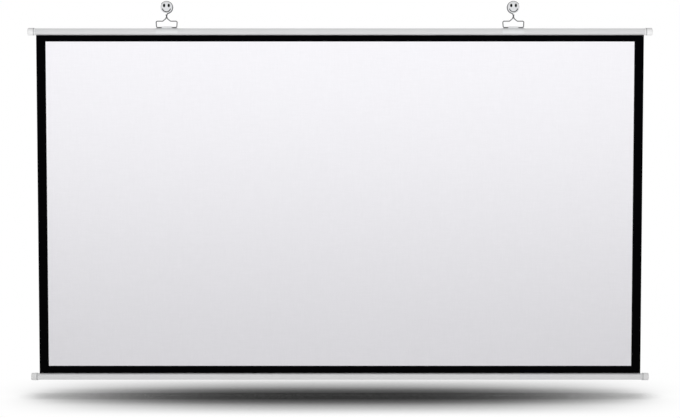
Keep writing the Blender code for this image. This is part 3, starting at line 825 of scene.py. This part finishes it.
class SCREEN_OT_hooks(bpy.types.Operator):
    """Turns the two round wall hooks: pad, spool, domed button and the marks printed on it"""
    bl_idname = "screen.hooks"
    bl_label = "Wall hooks"

    def execute(self, context):
        sizes = context.scene.hook_sizes
        looks = context.scene.screen_finishes
        gloss = moulded_plastic(
            "gloss_grey_hook", looks.hook, roughness=0.2, grain_size=0.006, depth=0.00003)
        ink = printed_ink(looks.ink)
        tape = foam_tape(looks.pad)
        for side, sign in SIDES.items():
            middle = (sign * HOOK_X, 0, 0)
            turns = {
                "pad": (self.pad_profile(sizes), tape, "pad_foam", f"adhesive_pad_{side}"),
                "spool": (self.spool_profile(sizes), gloss, "hook_plastic", f"hook_base_{side}"),
                "button": (self.button_profile(sizes), gloss, "hook_plastic", f"hook_face_{side}"),
            }
            for name, (profile, material, slot, node) in turns.items():
                surface = turned(profile, (0, -1, 0), (0, 0, 1), middle)
                new_piece(f"hook_{name}_{side}", surface, material, "wall_hooks", [node])
            new_piece(f"hook_marks_{side}", self.marks(sizes, middle), ink, "wall_hooks")
        return {"FINISHED"}

    def pad_profile(self, sizes):
        """A flat disc with softened edges."""
        radius = sizes.waist / 2 + sizes.flange - sizes.pad_inset
        corners = [(0, sizes.pad), (radius, sizes.pad), (radius, 0), (0, 0)]
        return filleted(corners, sizes.pad / 4, PAD_STEPS)

    def spool_profile(self, sizes):
        """From the middle of the recess out over the rim, down the waist as two half waves, over
        the flange to the middle of the back."""
        waist, low = sizes.waist / 2, sizes.pad + sizes.gap
        shelf, rim = low + sizes.flange_depth, -PLANE_Y + sizes.reach
        share = np.linspace(0, 1, 2 * ARC_STEPS)
        wave = (1 - np.cos(np.pi * share)) / 2
        fore = np.stack([waist + sizes.collar * (1 - wave), rim + (-PLANE_Y - rim) * share], 1)
        rear = np.stack([waist + sizes.flange * wave, -PLANE_Y + (shelf + PLANE_Y) * share], 1)[1:]
        bore = waist - sizes.wall
        recess = [(0, low + sizes.floor), (bore, low + sizes.floor), (bore, rim), fore[0]]
        edge = [rear[-1], (waist + sizes.flange, low), (0, low)]
        soft = sizes.wall / 5
        waves = [fore[1:], rear[:-1]]
        return np.concatenate([filleted(recess, soft), *waves, filleted(edge, 2 * soft)])

    def button_front(self, sizes, radius):
        """Height of the dome at a distance from the middle: an ellipse over the straight edge."""
        outer = sizes.waist / 2 + sizes.collar + sizes.overhang
        base = -PLANE_Y + sizes.reach + sizes.gap + sizes.edge
        return base + sizes.crown * np.sqrt(np.clip(1 - (radius / outer) ** 2, 0, 1))

    def button_profile(self, sizes):
        """From the top of the dome over the edge to the plug ring and the middle of the hollow."""
        outer = sizes.waist / 2 + sizes.collar + sizes.overhang
        back = -PLANE_Y + sizes.reach + sizes.gap
        radius = outer * np.sin(np.linspace(0, np.pi / 2, 3 * ARC_STEPS))
        dome = np.stack([radius, self.button_front(sizes, radius)], 1)
        plug = sizes.waist / 2 - sizes.wall - sizes.gap
        bore, lip = plug - sizes.plug_wall, back - sizes.plug
        ceiling = back + sizes.edge + sizes.crown - sizes.button_wall
        corners = [
            dome[-1], (outer, back), (plug, back), (plug, lip),
            (bore, lip), (bore, ceiling), (0, ceiling),
        ]
        soft = sizes.plug_wall / 6
        return np.concatenate([dome[:-1], filleted(corners, [2 * soft, *[soft] * 4])])

    def marks(self, sizes, middle):
        """Two oval eyes and a curved mouth, each a thin lens that follows the dome."""
        t = np.linspace(0, 2 * np.pi, AROUND // 2, endpoint=False)
        share = np.sin(np.linspace(0, np.pi, 2 * ARC_STEPS + 1))[:, None]
        lift = np.cos(np.linspace(0, np.pi, 2 * ARC_STEPS + 1))[:, None]
        lenses = []
        for side in SIDES.values():
            x = side * sizes.eye_x + sizes.eye_half * share * np.cos(t)
            z = sizes.eye_z + sizes.eye_tall * share * np.sin(t)
            height = self.button_front(sizes, np.hypot(x, z)) + sizes.ink * lift
            lenses.append(ringed(np.stack([x, -height, z], -1) + middle))
        swing = np.sin(np.linspace(-np.pi / 2, np.pi / 2, AROUND))
        turn = -np.pi / 2 + sizes.smile_span / 2 * swing
        x, z = sizes.smile * np.cos(turn), sizes.smile_z + sizes.smile * np.sin(turn)
        path = np.stack([x, -self.button_front(sizes, np.hypot(x, z)), z], 1) + middle
        taper = end_taper(path, sizes.smile_line)
        lenses.append(swept(path, sizes.smile_line * taper, sizes.ink * taper))
        return joined(*lenses)


class SCREEN_OT_stage(bpy.types.Operator):
    """Sets the camera, the lights, the white surroundings and the pale floor"""
    bl_idname = "screen.stage"
    bl_label = "Stage"

    def execute(self, context):
        scene = context.scene
        stage = scene.stage_settings
        scene.view_settings.view_transform = "Standard"
        self.set_camera(scene, stage)
        self.set_world(scene, stage)
        front = (-stage.strip_y, CLOTH_TOP + stage.strip_z, stage.strip_tilt)
        self.hang_light(scene, "strip_light", stage.strip_power, *front)
        self.hang_light(scene, "back_light", stage.back_power, stage.strip_y, WINDOW_MIDDLE, 0)
        self.lay_floor(scene, stage)
        return {"FINISHED"}

    def set_camera(self, scene, stage):
        """The camera stands off its aim along a line raised by the elevation. Its lens makes the
        cloth as wide in the picture as it is in the photograph."""
        camera = bpy.data.cameras.new("camera")
        share = stage.cloth_pixels / PHOTO_WIDTH
        camera.lens = camera.sensor_width * stage.distance * share / (2 * CLOTH_HALF)
        view = bpy.data.objects.new("camera", camera)
        back = Vector((0, -np.cos(stage.elevation), np.sin(stage.elevation)))
        view.location = Vector((0, PLANE_Y, stage.aim_z)) + stage.distance * back
        view.rotation_euler = back.to_track_quat("Z", "Y").to_euler()
        scene.collection.objects.link(view)
        scene.camera = view

    def set_world(self, scene, stage):
        """Plain light from all sides, and white where the camera, gloss or glass looks at it."""
        world = bpy.data.worlds.new("white_surroundings")
        world.use_nodes = True
        scene.world = world
        tree = world.node_tree
        tree.nodes.clear()
        seen = self.seen_directly(tree)
        light, white = [
            add(tree, "ShaderNodeBackground", {"Color": (1, 1, 1, 1), "Strength": strength})
            for strength in (stage.ambient, 1.0)
        ]
        mix = add(tree, "ShaderNodeMixShader", {0: seen, 1: light.outputs[0], 2: white.outputs[0]})
        add(tree, "ShaderNodeOutputWorld", {0: mix.outputs[0]})

    def seen_directly(self, tree):
        """1 for rays from the camera, from gloss and from glass, 0 for rays that carry light."""
        rays = add(tree, "ShaderNodeLightPath").outputs
        seen = rays["Is Camera Ray"]
        for name in ("Is Glossy Ray", "Is Transmission Ray"):
            either = add(tree, "ShaderNodeMath", {0: seen, 1: rays[name]}, operation="MAXIMUM")
            seen = either.outputs[0]
        return seen

    def hang_light(self, scene, name, power, offset, height, tilt):
        """A long soft strip before or behind the cloth. The front one is turned up, so that the
        cloth's top gets more light."""
        strip = bpy.data.lights.new(name, "AREA")
        strip.shape = "RECTANGLE"
        strip.size = STRIP_LENGTH
        strip.size_y = STRIP_WIDTH
        strip.energy = power
        lamp = bpy.data.objects.new(name, strip)
        lamp.visible_glossy = False
        lamp.location = (0, PLANE_Y + offset, height)
        back = Vector((0, np.sign(offset) * np.cos(tilt), -np.sin(tilt)))
        lamp.rotation_euler = back.to_track_quat("Z", "Y").to_euler()
        scene.collection.objects.link(lamp)

    def lay_floor(self, scene, stage):
        """A pale floor that is white to the eye, with a painted shadow near the screen."""
        level = RAIL_BOTTOM_Z - stage.floor_drop
        across = np.linspace(-FLOOR_HALF, FLOOR_HALF, FLOOR_STATIONS)
        x, y = np.meshgrid(across, across)
        points = np.stack([x, y, np.full_like(x, level)], -1)
        mesh = bpy.data.meshes.new("floor")
        quads = grid_quads(np.arange(x.size).reshape(x.shape))
        mesh.from_pydata(points.reshape(-1, 3).tolist(), [], quads.tolist())
        floor = bpy.data.objects.new("floor", mesh)
        mesh.materials.append(self.floor_finish(stage))
        scene.collection.objects.link(floor)

    def floor_finish(self, stage):
        """Matt paint for the light. For the eye it is a white emission with a painted shadow, darker
        where the screen is near, by a short reach under the rail and longer ones beside it. The
        painted shadow thins out towards the screen's ends: it is raised to the power of e to minus
        (|x| / half)^2.7."""
        material, tree, shader, place = new_finish("pale_floor_painted_shadow", linear("E6E6E6"), Roughness=0.9)
        # Painted shadow: occlusion by the screen, raised to powers, darkens the emission
        level = 1.0
        for share, depth in SHADOW_LAYERS:
            reach = {"Distance": share * stage.shadow}
            near = add(tree, "ShaderNodeAmbientOcclusion", reach, samples=SHADOW_SAMPLES)
            dim = near.outputs["AO"]
            for value, step in ((depth, "POWER"), (level, "MULTIPLY")):
                dim = add(tree, "ShaderNodeMath", {0: dim, 1: value}, operation=step).outputs[0]
            level = dim
        shadow_taper = add(tree, "ShaderNodeSeparateXYZ", {0: place}).outputs["X"]
        for value, step in (
            (0.0, "ABSOLUTE"), (stage.shadow_half, "DIVIDE"), (SHADOW_FALL, "POWER"),
            (-1.0, "MULTIPLY"), (0.0, "EXPONENT"),
        ):
            shadow_taper = add(tree, "ShaderNodeMath", {0: shadow_taper, 1: value}, operation=step).outputs[0]
        gloss = add(tree, "ShaderNodeLightPath").outputs["Is Glossy Ray"]
        for value, step in ((shadow_taper, "POWER"), (gloss, "MAXIMUM")):
            level = add(tree, "ShaderNodeMath", {0: level, 1: value}, operation=step).outputs[0]
        # The eye sees this emission: white, with the painted shadow in its strength
        white = add(tree, "ShaderNodeEmission", {"Strength": level})
        seen = self.seen_directly(tree)
        mix = add(tree, "ShaderNodeMixShader", {0: seen, 1: shader.outputs[0], 2: white.outputs[0]})
        tree.links.new(mix.outputs[0], tree.nodes["Material Output"].inputs["Surface"])
        return material


OPERATORS = (
    SCREEN_OT_cloth, SCREEN_OT_rails, SCREEN_OT_clips,
    SCREEN_OT_hangers, SCREEN_OT_hooks, SCREEN_OT_stage,
)
SETTINGS = {
    "cloth_sizes": ClothSizes,
    "rail_sizes": RailSizes,
    "hanger_sizes": HangerSizes,
    "clip_sizes": ClipSizes,
    "hook_sizes": HookSizes,
    "screen_finishes": ScreenFinishes,
    "stage_settings": StageSettings,
}


class VIEW3D_PT_projection_screen(bpy.types.Panel):
    """Lists the operators and the settings of the screen"""
    bl_label = "Projection screen"
    bl_space_type = "VIEW_3D"
    bl_region_type = "UI"
    bl_category = "Screen"

    def draw(self, context):
        for operator in OPERATORS:
            self.layout.operator(operator.bl_idname)
        for group, kind in SETTINGS.items():
            box = self.layout.box()
            for name in kind.__annotations__:
                box.prop(getattr(context.scene, group), name)


def register():
    """Adds the settings, the operators and the panel to Blender."""
    for kind in (*SETTINGS.values(), *OPERATORS, VIEW3D_PT_projection_screen):
        bpy.utils.register_class(kind)
    for group, kind in SETTINGS.items():
        setattr(bpy.types.Scene, group, PointerProperty(type=kind))


def unregister():
    """Takes them away again."""
    for group in SETTINGS:
        delattr(bpy.types.Scene, group)
    for kind in (VIEW3D_PT_projection_screen, *reversed(OPERATORS), *SETTINGS.values()):
        bpy.utils.unregister_class(kind)


def main():
    """Dresses the part."""
    register()
    bpy.ops.screen.cloth()
    bpy.ops.screen.rails()
    bpy.ops.screen.clips()
    bpy.ops.screen.hangers()
    bpy.ops.screen.hooks()
    bpy.ops.screen.stage()


if __name__ == "__main__":
    main()
